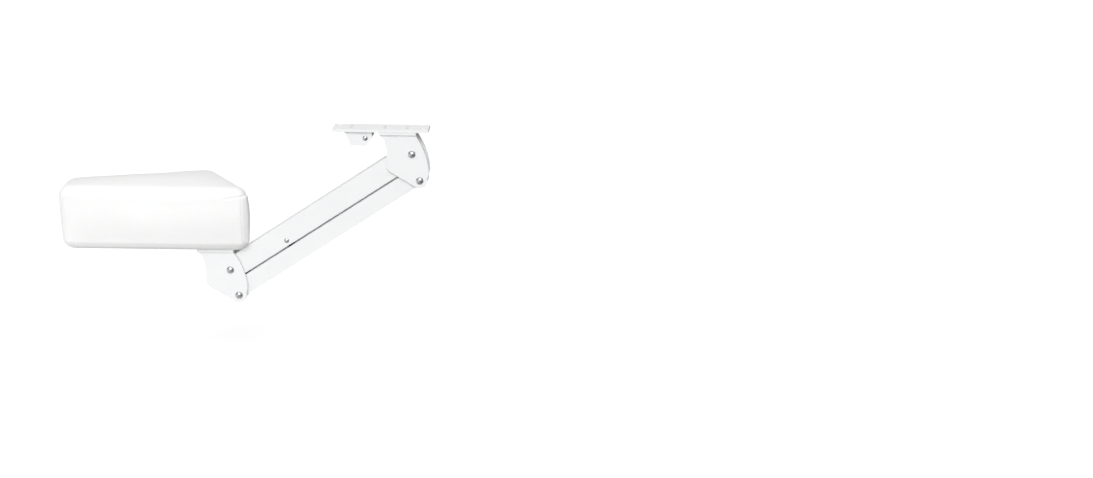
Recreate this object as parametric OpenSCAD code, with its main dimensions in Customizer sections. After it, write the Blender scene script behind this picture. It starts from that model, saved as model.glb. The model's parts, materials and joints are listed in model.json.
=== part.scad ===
// Wedge cushion on a parallelogram arm that hangs under the head end of a spa table.
// Millimetres. Origin: centre of the mounting plate's top face. +X towards the foot end of the
// table, +Y from the near side towards the table's middle, +Z up. Drawn with the arm lowered.

/* [Arm] */
// Distance between the pivots of one link
arm_len = 400; // [330:1:480]
// Angle of the lowered links below the horizontal
arm_drop = 33.5; // [28:0.5:36]
// How far the arm turns from lowered to raised
arm_travel = 35; // [20:1:36]
// Distance between the two pivots of one bracket
pivot_gap = 50; // [46:1:60]
// Lean of the line through a bracket's two pivots
pivot_lean = 15.5; // [12:0.5:18]
// Outside width of both links
link_w = 24; // [20:1:30]
// Height of the upper link's side
upper_h = 39; // [36:0.5:41]
// Lower link's side below its pivot line
lower_below = 8; // [6:0.5:10]
// Sheet thickness of the links
link_t = 2.5; // [1.5:0.5:3]
// Gap between the links when the arm is lowered
link_gap = 3.6; // [2:0.2:5]

/* [Brackets] */
// Space between a link's side and a cheek plate
side_gap = 2; // [1.5:0.25:3]
// Thickness of the cheek plates
cheek_t = 4; // [3:0.5:6]
// Length of a bracket's flange
flange_len = 66; // [62:1:74]
// Width of a bracket's flange
flange_w = 44; // [42:1:50]
// Thickness of a bracket's flange
flange_t = 5; // [4:0.5:6]
// Height of the flange's underside above the first pivot
flange_up = 35; // [33:1:42]

/* [Pivots] */
// Diameter of the pivot bolts
bolt_d = 8; // [6:1:8]
// Diameter of the dome heads
head_d = 14; // [13:0.5:16]
// Outside diameter of the plastic bushes
bush_d = 12; // [11:0.5:13]

/* [Stops] */
// Distance of the lowering stop's pin from the cushion end of the upper link
stop_pin_at = 117; // [90:1:160]
// Depth of that pin below the upper link's pivot line
stop_pin_low = 11; // [9:0.5:12]
// Distance of the raising stop's bolt from the arm's first pivot
raise_stop_at = 82; // [76:1:90]
// Radius of the rubber sleeve on the raising stop
raise_sleeve_r = 6.5; // [5.5:0.25:6.5]
// Length of the stop clevis along the arm
clevis_len = 49; // [46:1:56]

/* [Mounting plate] */
// Length of the mounting plate
plate_len = 170; // [166:1:200]
// Width of the mounting plate
plate_w = 46; // [46:1:60]
// Thickness of the mounting plate
plate_t = 5; // [4:0.5:8]
// Distance between the table bolts along the plate
mount_x = 150; // [150:1:156]
// Distance between the table bolts across the plate
mount_y = 28; // [22:1:28]
// Diameter of the table bolts' holes
mount_d = 9; // [7:0.5:9]

/* [Cushion] */
// Length of the cushion's near face between its unrounded corners
pad_len = 347; // [290:1:417]
// Depth of the cushion at its far corner
pad_deep = 154; // [128:1:185]
// Depth of the cushion at its outer end
pad_end = 74; // [60:1:88]
// Height of the cushion
pad_h = 118; // [98:1:142]
// Radius of the cushion's rounded top and bottom edges
pad_edge_r = 10; // [8:0.5:11]
// How far the top and the bottom are drawn in from the sides
pad_tuck = 5; // [3:0.5:8]
// Thickness of the cover and of the dust cover
cover_t = 1.2; // [0.8:0.1:2]
// Width of the cover's turned-under edge
hem_w = 28; // [24:1:32]
// Thickness of the plywood board
board_t = 12; // [12:1:18]
// Foam between the board's edge and the start of the cushion's rounded edge
board_inset = 1; // [0.5:0.5:8]
// Thickness of the soft top layer of foam
comfort_t = 30; // [20:1:40]

/* [Hidden] */

$fn = 64;
eps = 0.1;             // overshoot of a cutting tool
arc_n = 12;            // segments of a rounded corner in a bracket's or link's outline
sheet_n = 4;           // segments of a rounded corner in a sheet of the cushion
sheet_min_r = 6;       // smallest rounded corner of such a sheet

// Clearances
run_gap = 0.05;        // radial, pivot bolt in its bush
press_gap = 0.02;      // radial, bush or insert in its seat
bolt_gap = 0.2;        // radial, bolt through a plain hole
rub_gap = 0.1;         // bush flange to cheek
stop_gap = 0.3;        // a stop sleeve at the end of the travel

// Frame: the first pivot of the table bracket, and of the cushion bracket
plate_to_pivot = 55;   // table bracket's first pivot, from the plate's centre
pivot_down = plate_t + flange_t + flange_up;
table_pivot = [plate_to_pivot, 0, -pivot_down];
arm_vec = arm_len * [-cos(arm_drop), 0, -sin(arm_drop)];
cushion_pivot = table_pivot + arm_vec;
second_pivot = pivot_gap * [sin(pivot_lean), 0, -cos(pivot_lean)];

// Links: sides measured square to the pivot line, towards the cushion's side as +
link_tilt = -arm_drop;
spread = pivot_gap * cos(arm_drop - pivot_lean);
upper_below = 20;      // upper link's side below its pivot line
upper_above = upper_h - upper_below;
lower_above = spread - upper_below - link_gap;
tube_wall = 3;
tube_r = bush_d / 2 + tube_wall;
lobe_wall = 4;
lobe_r = tube_r + lobe_wall;

// Across the arm
cheek_in = link_w / 2 + side_gap;
cheek_out = cheek_in + cheek_t;

// Cheek plate outline, from the first pivot
cheek_rear = 45;       // to the straight rear edge
cheek_rear_top = 8;    // top of the straight rear edge
cheek_rear_low = -21;  // start of the rear corner
cheek_rear_r = 14;     // radius of the rear corner
cheek_front = 30;      // to the foremost point of the bulging front edge
cheek_front_r = 130;   // radius of that edge
cheek_front_low = -40; // height of its foremost point
cheek_lobe_r = 14;     // round the second pivot
cheek_low_turn = 235;  // direction that the slanted lower edge faces
cheek_lobe_turn = 375; // direction in which the lobe ends at the front edge
cheek_front_turn = 2;  // direction in which the front edge begins
flange_past = 13;      // flange past the straight rear edge
flange_rear = cheek_rear + flange_past;

// Small fasteners: M6 button heads
screw_r = 3;
screw_gap = 0.3;
screw_head_r = 5.25;
screw_head_h = 3.3;
screw_washer_r = 5.6;
screw_washer_t = 1;
screw_tip = 0.3;       // how far a screw stops short of the far face
thread_gap = 0.05;
screw_row = 7;         // screws to either side of the arm's middle
screw_span = 40;       // between a bracket's two pairs of screws
screw_edge = 10;       // from a flange's rear end to the first pair
bracket_screws = [for (x = [0, 1]) for (y = [-1, 1])
    [-flange_rear + screw_edge + x * screw_span, y * screw_row]];
insert_r = 5;
board_skin = 2;        // board left above the inserts
insert_h = board_t - board_skin;

// Pivot fasteners
bolt_r = bolt_d / 2;
head_r = head_d / 2;
head_h = 4.4;
neck_w = bolt_d + 0.6;    // square neck that stops the bolt from turning
neck_h = cheek_t - 1;
neck_gap = 0.1;
washer_r = 8;
washer_t = 1.6;
spring_t = 0.9;
spring_rise = 0.4;
nut_flats = 13;
nut_h = 8;
nut_end = 2;           // bolt showing past its nut
small_end = 1;         // the same on the two stops
bush_flange_r = 10.5;
bush_apart = 4;        // between the two bushes of one pivot
bush_depth = (link_w - bush_apart) / 2;

// Raising stop
clevis_t = 3;
clevis_in = cheek_in;
clevis_past = 37;      // clevis past its bolt, to the rear
clevis_rear = raise_stop_at + clevis_past;
clevis_screw_in = 11;  // screws from the clevis's rear end
clevis_screws = [for (y = [-1, 1]) [clevis_screw_in - clevis_rear, y * screw_row]];
clevis_slant = 12;     // tab's rear edge leans in by this much
clevis_low = 14.5;     // height of the tab's lower edge
raised_tilt = arm_travel - arm_drop;
raised_top = raise_stop_at * tan(raised_tilt) + upper_above / cos(raised_tilt);
raise_stop_up = raised_top + (raise_sleeve_r + stop_gap) / cos(raised_tilt);
raise_bolt_r = 2.5;
raise_head_r = 4.75;
raise_head_h = 2.8;
raise_nut_flats = 8;
raise_nut_h = 5;

// Lowering stop
stop_pin_r = 3;
stop_head_r = 4.5;
stop_head_h = 2.4;
stop_nut_flats = 10;
stop_nut_h = 5;
stop_sleeve_r = upper_below + link_gap - stop_gap - stop_pin_low;

// Cushion
pad_near = -36;        // near face
pad_front = 50.5;      // unrounded front corner, ahead of the cushion bracket's first pivot
pad_back = pad_front - pad_len;
pad_far_x = -52;       // unrounded far corner
pad_rise = 15;         // height over which the sides draw in
pad_end_lean = 4;      // outer end leans out by this much
pad_z = flange_up + flange_t;
pad_corners = [[pad_back, pad_near], [pad_front, pad_near],
    [pad_far_x, pad_near + pad_deep], [pad_back - pad_end_lean, pad_near + pad_end]];
pad_radii = [18, 12, 22, 18];
board_z = pad_z + cover_t;
board_in = pad_tuck + pad_edge_r + board_inset;
comfort_z = pad_z + pad_h - cover_t - comfort_t;
dust_gap = 0.5;
staple_in = 19;        // staple row, from the cushion's edge
staple_pitch = 30;
staple_crown = 10;
staple_wire = 1;
staple_leg = 8;

// Outline helpers. An outline is listed counter-clockwise.
function arc(c, r, a0, a1, n = arc_n) =
    [for (i = [0:n]) let (a = a0 + (a1 - a0) * i / n) [c[0] + r * cos(a), c[1] + r * sin(a)]];
function unit(v) = v / norm(v);
function next(p, i) = p[(i + 1) % len(p)];
function prev(p, i) = p[(i + len(p) - 1) % len(p)];
function normal(a, b) = let (d = unit(b - a)) [d[1], -d[0]];
function cross2(a, b) = a[0] * b[1] - a[1] * b[0];
// Corner i after both its edges move in by d
function inset_corner(p, i, d) =
    let (a = normal(prev(p, i), p[i]), b = normal(p[i], next(p, i)))
    p[i] - d * (a + b) / (1 + a * b);
function inset(p, d) = [for (i = [0:len(p) - 1]) inset_corner(p, i, d)];
// Centre of the round at corner i, and the rounded outline
function round_centre(p, i, r) = inset_corner(p, i, r);
function rounded(p, radii) = [for (i = [0:len(p) - 1])
    let (a = normal(prev(p, i), p[i]), b = normal(p[i], next(p, i)),
        from = atan2(a[1], a[0]), turn = atan2(cross2(a, b), a * b))
    each arc(round_centre(p, i, radii[i]), radii[i], from, from + turn, sheet_n)];
function less(radii, d) = [for (r = radii) max(r - d, sheet_min_r)];
function pad_outline(d) = rounded(inset(pad_corners, d), less(pad_radii, d));

// Round bar, ring or hole along +Y from y0 to y1, at [x, z]
module bar(at, r, y0, y1)
    translate([at[0], y0, at[1]]) rotate([-90, 0, 0]) cylinder(r = r, h = y1 - y0);
module ring(at, r_out, r_in, y0, y1)
    difference() {
        bar(at, r_out, y0, y1);
        bar(at, r_in, y0 - eps, y1 + eps);
    }
// An outline in X and Z, extruded along +Y
module plate_xz(points, y0, y1)
    translate([0, y1, 0]) rotate([90, 0, 0]) linear_extrude(y1 - y0) polygon(points);
// Dome on a flat face, its rim at [x, z] and y, bulging towards -Y
module dome(at, y, r, h) {
    ball = (r * r + h * h) / (2 * h);
    translate([at[0], y, at[1]]) rotate([90, 0, 0])
        rotate_extrude() polygon([[0, 0], each arc([0, h - ball], ball, asin((ball - h) / ball), 90)]);
}
module hex_nut(at, flats, bore, y0, h)
    difference() {
        translate([at[0], y0, at[1]]) rotate([-90, 0, 0])
            cylinder(d = flats / cos(30), h = h, $fn = 6);
        bar(at, bore, y0 - eps, y0 + h + eps);
    }
// Button-head screw pointing up, the underside of its head at z
module button_screw(x, y, z, length)
    translate([x, y, z]) {
        cylinder(r = screw_r, h = length);
        mirror([0, 0, 1]) rotate_extrude() polygon([[0, 0], [screw_head_r, 0],
            each arc([screw_head_r - screw_head_h, 0], screw_head_h, 0, 90), [0, screw_head_h]]);
    }
module washer_flat(x, y, z)
    translate([x, y, z]) difference() {
        cylinder(r = screw_washer_r, h = screw_washer_t);
        translate([0, 0, -eps]) cylinder(r = screw_r + screw_gap, h = screw_washer_t + 2 * eps);
    }
module holes_z(places, r, z0, z1)
    for (p = places) translate([p[0], p[1], z0]) cylinder(r = r, h = z1 - z0);

// Both brackets share one shape, drawn from its first pivot
pivots = [[0, 0], [second_pivot[0], second_pivot[2]]];
rear_sweep = 2 * atan((flange_rear - cheek_rear) / (flange_up - cheek_rear_top));
rear_scoop_r = (flange_up - cheek_rear_top) / sin(rear_sweep);
front_top = asin((flange_up - cheek_front_low) / cheek_front_r);
cheek_outline = [
    each arc([-cheek_rear - rear_scoop_r, cheek_rear_top], rear_scoop_r, rear_sweep, 0),
    each arc([-cheek_rear + cheek_rear_r, cheek_rear_low], cheek_rear_r, 180, cheek_low_turn),
    each arc(pivots[1], cheek_lobe_r, cheek_low_turn, cheek_lobe_turn),
    each arc([cheek_front - cheek_front_r, cheek_front_low], cheek_front_r,
        cheek_front_turn, front_top)];

module bracket(screw_places) {
    difference() {
        union() {
            for (y = [-cheek_out, cheek_in]) plate_xz(cheek_outline, y, y + cheek_t);
            translate([-flange_rear, -flange_w / 2, flange_up])
                cube([flange_len, flange_w, flange_t]);
        }
        for (p = pivots) {
            bar(p, bolt_r + bolt_gap, -cheek_out - eps, cheek_out + eps);
            translate([p[0], -cheek_out, p[1]]) cube([neck_w + 2 * neck_gap,
                2 * (neck_h + neck_gap), neck_w + 2 * neck_gap], center = true);
        }
        holes_z(screw_places, screw_r + screw_gap, flange_up - eps, flange_up + flange_t + eps);
    }
}
module bracket_screw_set(length)
    for (p = bracket_screws) button_screw(p[0], p[1], flange_up - screw_washer_t, length);
module bracket_washer_set()
    for (p = bracket_screws) washer_flat(p[0], p[1], flange_up - screw_washer_t);

// Pivot fastener sets, from a bracket's first pivot
stack = cheek_out + washer_t + spring_t + spring_rise;
module pivot_bolts()
    for (p = pivots) {
        dome(p, -cheek_out, head_r, head_h);
        translate([p[0] - neck_w / 2, -cheek_out, p[1] - neck_w / 2]) cube([neck_w, neck_h, neck_w]);
        bar(p, bolt_r, -cheek_out, stack + nut_h + nut_end);
    }
module pivot_washers()
    for (p = pivots) ring(p, washer_r, bolt_r + bolt_gap, cheek_out, cheek_out + washer_t);
module pivot_springs()
    for (p = pivots) translate([p[0], cheek_out + washer_t, p[1]]) rotate([-90, 0, 0])
        rotate_extrude() polygon([[bolt_r + bolt_gap, spring_rise], [washer_r, 0],
            [washer_r, spring_t], [bolt_r + bolt_gap, spring_t + spring_rise]]);
module pivot_nuts()
    for (p = pivots) hex_nut(p, nut_flats, bolt_r + thread_gap, stack, nut_h);

// Folded channel, open below, along its pivot line from [0, 0] to [-arm_len, 0]
module channel(side, above, below) {
    difference() {
        union() {
            plate_xz(side, -link_w / 2, link_w / 2);
            for (x = [0, -arm_len]) bar([x, 0], tube_r, -link_w / 2, link_w / 2);
        }
        difference() {
            translate([-arm_len - 2 * above, -link_w / 2 + link_t, -3 * below])
                cube([arm_len + 4 * above, link_w - 2 * link_t, 3 * below + above - link_t]);
            for (x = [0, -arm_len]) bar([x, 0], tube_r, -link_w / 2, link_w / 2);
        }
        for (x = [0, -arm_len]) bar([x, 0], bush_d / 2, -link_w / 2 - eps, link_w / 2 + eps);
    }
}
module bushes()
    for (x = [0, -arm_len]) for (s = [0, 1]) mirror([0, s, 0]) {
        ring([x, 0], bush_d / 2 - press_gap, bolt_r + run_gap, link_w / 2 - bush_depth, link_w / 2);
        ring([x, 0], bush_flange_r, bolt_r + run_gap, link_w / 2, cheek_in - rub_gap);
    }
module at_upper() translate(table_pivot) rotate([0, link_tilt, 0]) children();
module at_lower() translate(table_pivot + second_pivot) rotate([0, link_tilt, 0]) children();

// Upper link: round ends about its pivots
upper_end_r = upper_h / 2;
upper_mid = (upper_above - upper_below) / 2;
upper_side = [each arc([0, upper_mid], upper_end_r, -90, 90, 2 * arc_n),
    each arc([-arm_len, upper_mid], upper_end_r, 90, 270, 2 * arc_n)];
stop_pin_place = [stop_pin_at - arm_len, -stop_pin_low];

// Lower link: a lobe round each pivot, a rounded shoulder above it
shoulder_r = 10;
lobe_turn = acos(lower_below / lobe_r);
lower_side = [each arc([0, 0], lobe_r, -90 - lobe_turn, 0, 2 * arc_n),
    each arc([lobe_r - shoulder_r, lower_above - shoulder_r], shoulder_r, 0, 90),
    each arc([-arm_len - lobe_r + shoulder_r, lower_above - shoulder_r], shoulder_r, 90, 180),
    each arc([-arm_len, 0], lobe_r, 180, 270 + lobe_turn, 2 * arc_n)];

// Raising stop, from the table bracket's first pivot
clevis_front = clevis_rear - clevis_len;
clevis_base_z = flange_up + flange_t;
clevis_tab = [[-clevis_rear, clevis_base_z], [clevis_slant - clevis_rear, clevis_low],
    [-raise_stop_at, clevis_low], [-clevis_front, raise_stop_up], [-clevis_front, clevis_base_z]];
raise_stop_place = [-raise_stop_at, raise_stop_up];

// A solid with the cushion's plan, its edges rounded and drawn in above and below, moved in by
// d on every side
module pad_post(r, h, edge)
    rotate_extrude($fn = 32) polygon([[0, 0], each arc([r - edge, edge], edge, -90, 0, sheet_n),
        each arc([r - edge, h - edge], edge, 0, 90, sheet_n), [0, h]]);
module pad_form(d) {
    drawn_in = inset(pad_corners, pad_tuck);
    hull() for (i = [0:len(pad_corners) - 1]) {
        side = round_centre(pad_corners, i, pad_radii[i]);
        rim = round_centre(drawn_in, i, pad_radii[i]);
        translate([side[0], side[1], pad_z + pad_rise])
            cylinder(r = pad_radii[i] - d, h = pad_h - 2 * pad_rise, $fn = 32);
        translate([rim[0], rim[1], pad_z + d])
            pad_post(pad_radii[i] - d, pad_h - 2 * d, pad_edge_r - d);
    }
}
// A flat sheet with the cushion's plan, moved in by d
module pad_sheet(d, z0, z1)
    translate([0, 0, z0]) linear_extrude(z1 - z0) polygon(pad_outline(d));
module at_cushion() translate(cushion_pivot) children();

// ---- table side ----
module mounting_plate()
    color("white") difference() {
        translate([-plate_len / 2, -plate_w / 2, -plate_t]) cube([plate_len, plate_w, plate_t]);
        for (x = [-1, 1]) for (y = [-1, 1]) translate([x * mount_x / 2, y * mount_y / 2, -plate_t - eps])
            cylinder(d = mount_d, h = plate_t + 2 * eps);
        translate(table_pivot) holes_z([each bracket_screws, each clevis_screws],
            screw_r + thread_gap, clevis_base_z - eps, pivot_down + eps);
    }
module table_bracket() color("whitesmoke") translate(table_pivot) bracket(bracket_screws);
module table_bracket_screws()
    color("silver") translate(table_pivot)
        bracket_screw_set(screw_washer_t + flange_t + plate_t - screw_tip);
module table_bracket_washers() color("silver") translate(table_pivot) bracket_washer_set();
module raise_stop_clevis()
    color("whitesmoke") translate(table_pivot) difference() {
        union() {
            for (y = [-clevis_in - clevis_t, clevis_in]) plate_xz(clevis_tab, y, y + clevis_t);
            translate([-clevis_rear, -clevis_in - clevis_t, clevis_base_z - clevis_t])
                cube([clevis_len, 2 * (clevis_in + clevis_t), clevis_t]);
        }
        bar(raise_stop_place, raise_bolt_r + bolt_gap, -clevis_in - 2 * clevis_t,
            clevis_in + 2 * clevis_t);
        holes_z(clevis_screws, screw_r + screw_gap, clevis_base_z - clevis_t - eps,
            clevis_base_z + eps);
    }
module raise_stop_screws()
    color("silver") translate(table_pivot) for (p = clevis_screws)
        button_screw(p[0], p[1], clevis_base_z - clevis_t, clevis_t + plate_t - screw_tip);
module raise_stop_bolt()
    color("silver") translate(table_pivot) {
        dome(raise_stop_place, -clevis_in - clevis_t, raise_head_r, raise_head_h);
        bar(raise_stop_place, raise_bolt_r, -clevis_in - clevis_t,
            clevis_in + clevis_t + raise_nut_h + small_end);
    }
module raise_stop_sleeve()
    color("dimgray") translate(table_pivot)
        ring(raise_stop_place, raise_sleeve_r, raise_bolt_r + run_gap, -clevis_in, clevis_in);
module raise_stop_nut()
    color("silver") translate(table_pivot) hex_nut(raise_stop_place, raise_nut_flats,
        raise_bolt_r + thread_gap, clevis_in + clevis_t, raise_nut_h);
module table_pivot_bolts() color("silver") translate(table_pivot) pivot_bolts();
module table_pivot_washers() color("silver") translate(table_pivot) pivot_washers();
module table_pivot_springs() color("gray") translate(table_pivot) pivot_springs();
module table_pivot_nuts() color("silver") translate(table_pivot) pivot_nuts();

// ---- links ----
module upper_link()
    color("white") at_upper() difference() {
        channel(upper_side, upper_above, upper_below);
        bar(stop_pin_place, stop_pin_r + bolt_gap, -link_w, link_w);
    }
module upper_link_bushes() color("ivory") at_upper() bushes();
module stop_pin()
    color("silver") at_upper() {
        dome(stop_pin_place, -link_w / 2, stop_head_r, stop_head_h);
        bar(stop_pin_place, stop_pin_r, -link_w / 2, link_w / 2 + stop_nut_h + small_end);
    }
module stop_pin_sleeve()
    color("dimgray") at_upper() ring(stop_pin_place, stop_sleeve_r, stop_pin_r + run_gap,
        link_t - link_w / 2, link_w / 2 - link_t);
module stop_pin_nut()
    color("silver") at_upper() hex_nut(stop_pin_place, stop_nut_flats, stop_pin_r + thread_gap,
        link_w / 2, stop_nut_h);
module lower_link() color("white") at_lower() channel(lower_side, lower_above, lower_below);
module lower_link_bushes() color("ivory") at_lower() bushes();

// ---- cushion ----
module cushion_bracket() color("whitesmoke") at_cushion() bracket(bracket_screws);
module cushion_bracket_screws()
    color("silver") at_cushion() bracket_screw_set(screw_washer_t + flange_t + cover_t + insert_h);
module cushion_bracket_washers() color("silver") at_cushion() bracket_washer_set();
module cushion_pivot_bolts() color("silver") at_cushion() pivot_bolts();
module cushion_pivot_washers() color("silver") at_cushion() pivot_washers();
module cushion_pivot_springs() color("gray") at_cushion() pivot_springs();
module cushion_pivot_nuts() color("silver") at_cushion() pivot_nuts();
module base_board()
    color("burlywood") at_cushion() difference() {
        pad_sheet(board_in, board_z, board_z + board_t);
        holes_z(bracket_screws, insert_r + press_gap, board_z - eps, board_z + insert_h);
        holes_z(bracket_screws, screw_r + screw_gap, board_z, board_z + board_t + eps);
    }
module board_inserts()
    color("goldenrod") at_cushion() difference() {
        holes_z(bracket_screws, insert_r, board_z, board_z + insert_h);
        holes_z(bracket_screws, screw_r + thread_gap, board_z - eps, board_z + board_t);
    }
module comfort_space()
    translate([pad_back - pad_len, pad_near - pad_deep, comfort_z])
        cube([3 * pad_len, 3 * pad_deep, pad_h]);
module foam_core()
    color("khaki") at_cushion() difference() {
        pad_form(cover_t);
        pad_sheet(board_in, board_z - eps, board_z + board_t);
        comfort_space();
    }
module comfort_foam()
    color("lemonchiffon") at_cushion() intersection() {
        pad_form(cover_t);
        comfort_space();
    }
module cushion_cover()
    color("white") at_cushion() difference() {
        pad_form(0);
        pad_form(cover_t);
        pad_sheet(hem_w, pad_z - eps, board_z + eps);
        holes_z(bracket_screws, screw_r + screw_gap, pad_z - eps, board_z + eps);
    }
module dust_cover()
    color("black") at_cushion() difference() {
        pad_sheet(hem_w + dust_gap, pad_z, board_z);
        holes_z(bracket_screws, screw_r + screw_gap, pad_z - eps, board_z + eps);
    }

// Staples lie along the turned-under edge, clear of the bracket's flange
staple_path = inset(pad_corners, staple_in);
module staple() {
    translate([-staple_crown / 2, -staple_wire / 2, -staple_wire])
        cube([staple_crown, staple_wire, staple_wire]);
    for (s = [0, 1]) mirror([s, 0, 0])
        translate([staple_crown / 2 - staple_wire, -staple_wire / 2, 0])
            cube([staple_wire, staple_wire, staple_leg]);
}
module cover_staples()
    color("silver") at_cushion() for (i = [0:len(staple_path) - 1]) {
        a = staple_path[i];
        b = next(staple_path, i);
        count = floor((norm(b - a) - 2 * staple_crown) / staple_pitch);
        for (k = [0:count]) {
            p = a + (b - a) * (k + 1) / (count + 2);
            clear = p[0] > staple_crown || p[0] < -flange_rear - staple_crown
                || abs(p[1]) > flange_w / 2 + staple_wire;
            if (clear) translate([p[0], p[1], pad_z]) rotate([0, 0, atan2(b[1] - a[1], b[0] - a[0])])
                staple();
        }
    }

mounting_plate();
table_bracket();
table_bracket_screws();
table_bracket_washers();
raise_stop_clevis();
raise_stop_screws();
raise_stop_bolt();
raise_stop_sleeve();
raise_stop_nut();
table_pivot_bolts();
table_pivot_washers();
table_pivot_springs();
table_pivot_nuts();
upper_link();
upper_link_bushes();
stop_pin();
stop_pin_sleeve();
stop_pin_nut();
lower_link();
lower_link_bushes();
cushion_bracket();
cushion_bracket_screws();
cushion_bracket_washers();
cushion_pivot_bolts();
cushion_pivot_washers();
cushion_pivot_springs();
cushion_pivot_nuts();
base_board();
board_inserts();
foam_core();
comfort_foam();
cushion_cover();
cover_staples();
dust_cover();
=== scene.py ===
"""Wedge cushion on its parallelogram arm: the looks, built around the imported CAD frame."""

import json
import math
from contextlib import contextmanager

import bmesh
import bpy
import numpy as np
from mathutils import Matrix, Vector, geometry


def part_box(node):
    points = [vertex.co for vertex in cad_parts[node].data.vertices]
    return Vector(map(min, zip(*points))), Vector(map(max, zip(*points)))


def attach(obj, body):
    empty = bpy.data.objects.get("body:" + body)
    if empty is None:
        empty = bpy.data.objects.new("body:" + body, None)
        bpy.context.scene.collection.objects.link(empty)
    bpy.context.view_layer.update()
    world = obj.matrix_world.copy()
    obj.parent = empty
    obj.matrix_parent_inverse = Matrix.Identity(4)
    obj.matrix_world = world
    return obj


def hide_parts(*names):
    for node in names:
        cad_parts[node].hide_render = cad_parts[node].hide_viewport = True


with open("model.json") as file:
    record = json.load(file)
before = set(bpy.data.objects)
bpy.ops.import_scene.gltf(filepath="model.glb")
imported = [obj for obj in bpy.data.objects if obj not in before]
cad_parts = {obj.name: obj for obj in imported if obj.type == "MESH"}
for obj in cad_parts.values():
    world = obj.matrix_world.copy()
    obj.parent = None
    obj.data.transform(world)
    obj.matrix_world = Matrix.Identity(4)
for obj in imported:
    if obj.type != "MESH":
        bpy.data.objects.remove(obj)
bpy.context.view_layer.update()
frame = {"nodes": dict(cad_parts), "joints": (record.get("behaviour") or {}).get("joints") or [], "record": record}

MM = 0.001
SCENE = bpy.context.scene


# ---------------------------------------------------------------- places from the frame
def joint_place(name):
    """Where a joint's axis passes."""
    joint = next(j for j in frame["joints"] if j["name"] == name)
    return Vector(joint["pos_m"])


TABLE_PIVOT = joint_place("arm_lift")
CUSHION_PIVOT = joint_place("cushion_level")
ARM = CUSHION_PIVOT - TABLE_PIVOT
ARM_AXIS = ARM.normalized()                        # points towards -X
ARM_UP = Vector((ARM_AXIS.z, 0, -ARM_AXIS.x))
PAD_LOW, PAD_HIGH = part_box("cushion_cover")
PAD_MIDDLE = (PAD_LOW + PAD_HIGH) / 2
SLOT = {part["node"]: part["material_slot"] for part in frame["record"]["subparts"]}
BODY = {node: body for body, nodes in frame["record"]["behaviour"]["bodies"].items() for node in nodes}


# ---------------------------------------------------------------- mesh helpers
SAME_POINT = 0.001 * MM    # points closer than this are one
PLAN_STEP = 0.3 * MM       # points of an outline that lie closer are left out


def link_object(name, mesh):
    piece = bpy.data.objects.new(name, mesh)
    SCENE.collection.objects.link(piece)
    return piece


def mesh_object(name, verts, faces):
    mesh = bpy.data.meshes.new(name)
    mesh.from_pydata([tuple(v) for v in verts], [], faces)
    mesh.validate()
    return link_object(name, mesh)


@contextmanager
def edited(source, result=None):
    """A mesh opened for editing, then written back, or into another mesh."""
    bm = bmesh.new()
    bm.from_mesh(source)
    yield bm
    bm.to_mesh(source if result is None else result)
    bm.free()


def smooth(piece, angle=None):
    """Smooth shading, with edges sharper than the angle kept crisp."""
    mesh = piece.data
    mesh.polygons.foreach_set("use_smooth", [True] * len(mesh.polygons))
    if angle is not None:
        mesh.set_sharp_from_angle(angle=math.radians(angle))
    return piece


def modify(piece, kind, **settings):
    """Adds one modifier and bakes it into the mesh."""
    modifier = piece.modifiers.new(kind.lower(), kind)
    for key, value in settings.items():
        setattr(modifier, key, value)
    bake(piece)


def bake(piece):
    """Bakes the modifier stack into the mesh."""
    graph = bpy.context.evaluated_depsgraph_get()
    mesh = bpy.data.meshes.new_from_object(piece.evaluated_get(graph))
    piece.modifiers.clear()
    piece.data = mesh


def coords(mesh):
    flat = np.zeros(len(mesh.vertices) * 3)
    mesh.vertices.foreach_get("co", flat)
    return flat.reshape(-1, 3)


def set_coords(mesh, places):
    mesh.vertices.foreach_set("co", places.ravel())
    mesh.update()


def normals(mesh):
    flat = np.zeros(len(mesh.vertices) * 3)
    mesh.vertex_normals.foreach_get("vector", flat)
    return flat.reshape(-1, 3)


def averaged(mesh, values, rounds):
    """A vector at each vertex, averaged again and again with its neighbours' ones."""
    ends = np.zeros(len(mesh.edges) * 2, dtype=np.int64)
    mesh.edges.foreach_get("vertices", ends)
    a, b = ends.reshape(-1, 2).T
    size = len(values)
    share = (1 + np.bincount(a, minlength=size) + np.bincount(b, minlength=size))[:, None]
    for _ in range(rounds):
        found = [np.bincount(a, v[b], size) + np.bincount(b, v[a], size) for v in values.T]
        values = (np.stack(found, axis=1) + values) / share
    return values


def even_directions(mesh, rounds):
    """Vertex normals evened out, so that a fold runs straight."""
    ways = averaged(mesh, normals(mesh), rounds)
    return ways / np.linalg.norm(ways, axis=1, keepdims=True)


def bump_at(values, middle, width):
    """A soft bump of height 1."""
    return np.exp(-(((values - middle) / width) ** 2))


def ramp_up(values, start, end):
    """0 before start, 1 after end, smooth between them."""
    t = np.clip((values - start) / (end - start), 0.0, 1.0)
    return t * t * (3 - 2 * t)


def skin(rings, ring_like=False):
    """A mesh through rings of equally many points, capped, or closed on itself."""
    count = len(rings[0])
    verts = [point for ring in rings for point in ring]
    faces = []
    for k in range(len(rings) if ring_like else len(rings) - 1):
        here, there = k * count, (k + 1) % len(rings) * count
        for i in range(count):
            j = (i + 1) % count
            faces.append((here + i, here + j, there + j, there + i))
    if not ring_like:
        faces.append(tuple(range(count)))
        faces.append(tuple(range(len(verts) - count, len(verts))))
    return verts, faces


def solid_object(name, parts):
    """An object of one or more closed meshes, their faces turned outwards."""
    verts, faces = [], []
    for some_verts, some_faces in parts:
        first = len(verts)
        verts.extend(some_verts)
        faces.extend(tuple(first + i for i in face) for face in some_faces)
    piece = mesh_object(name, verts, faces)
    with edited(piece.data) as bm:
        bmesh.ops.recalc_face_normals(bm, faces=bm.faces)
    return piece


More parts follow.
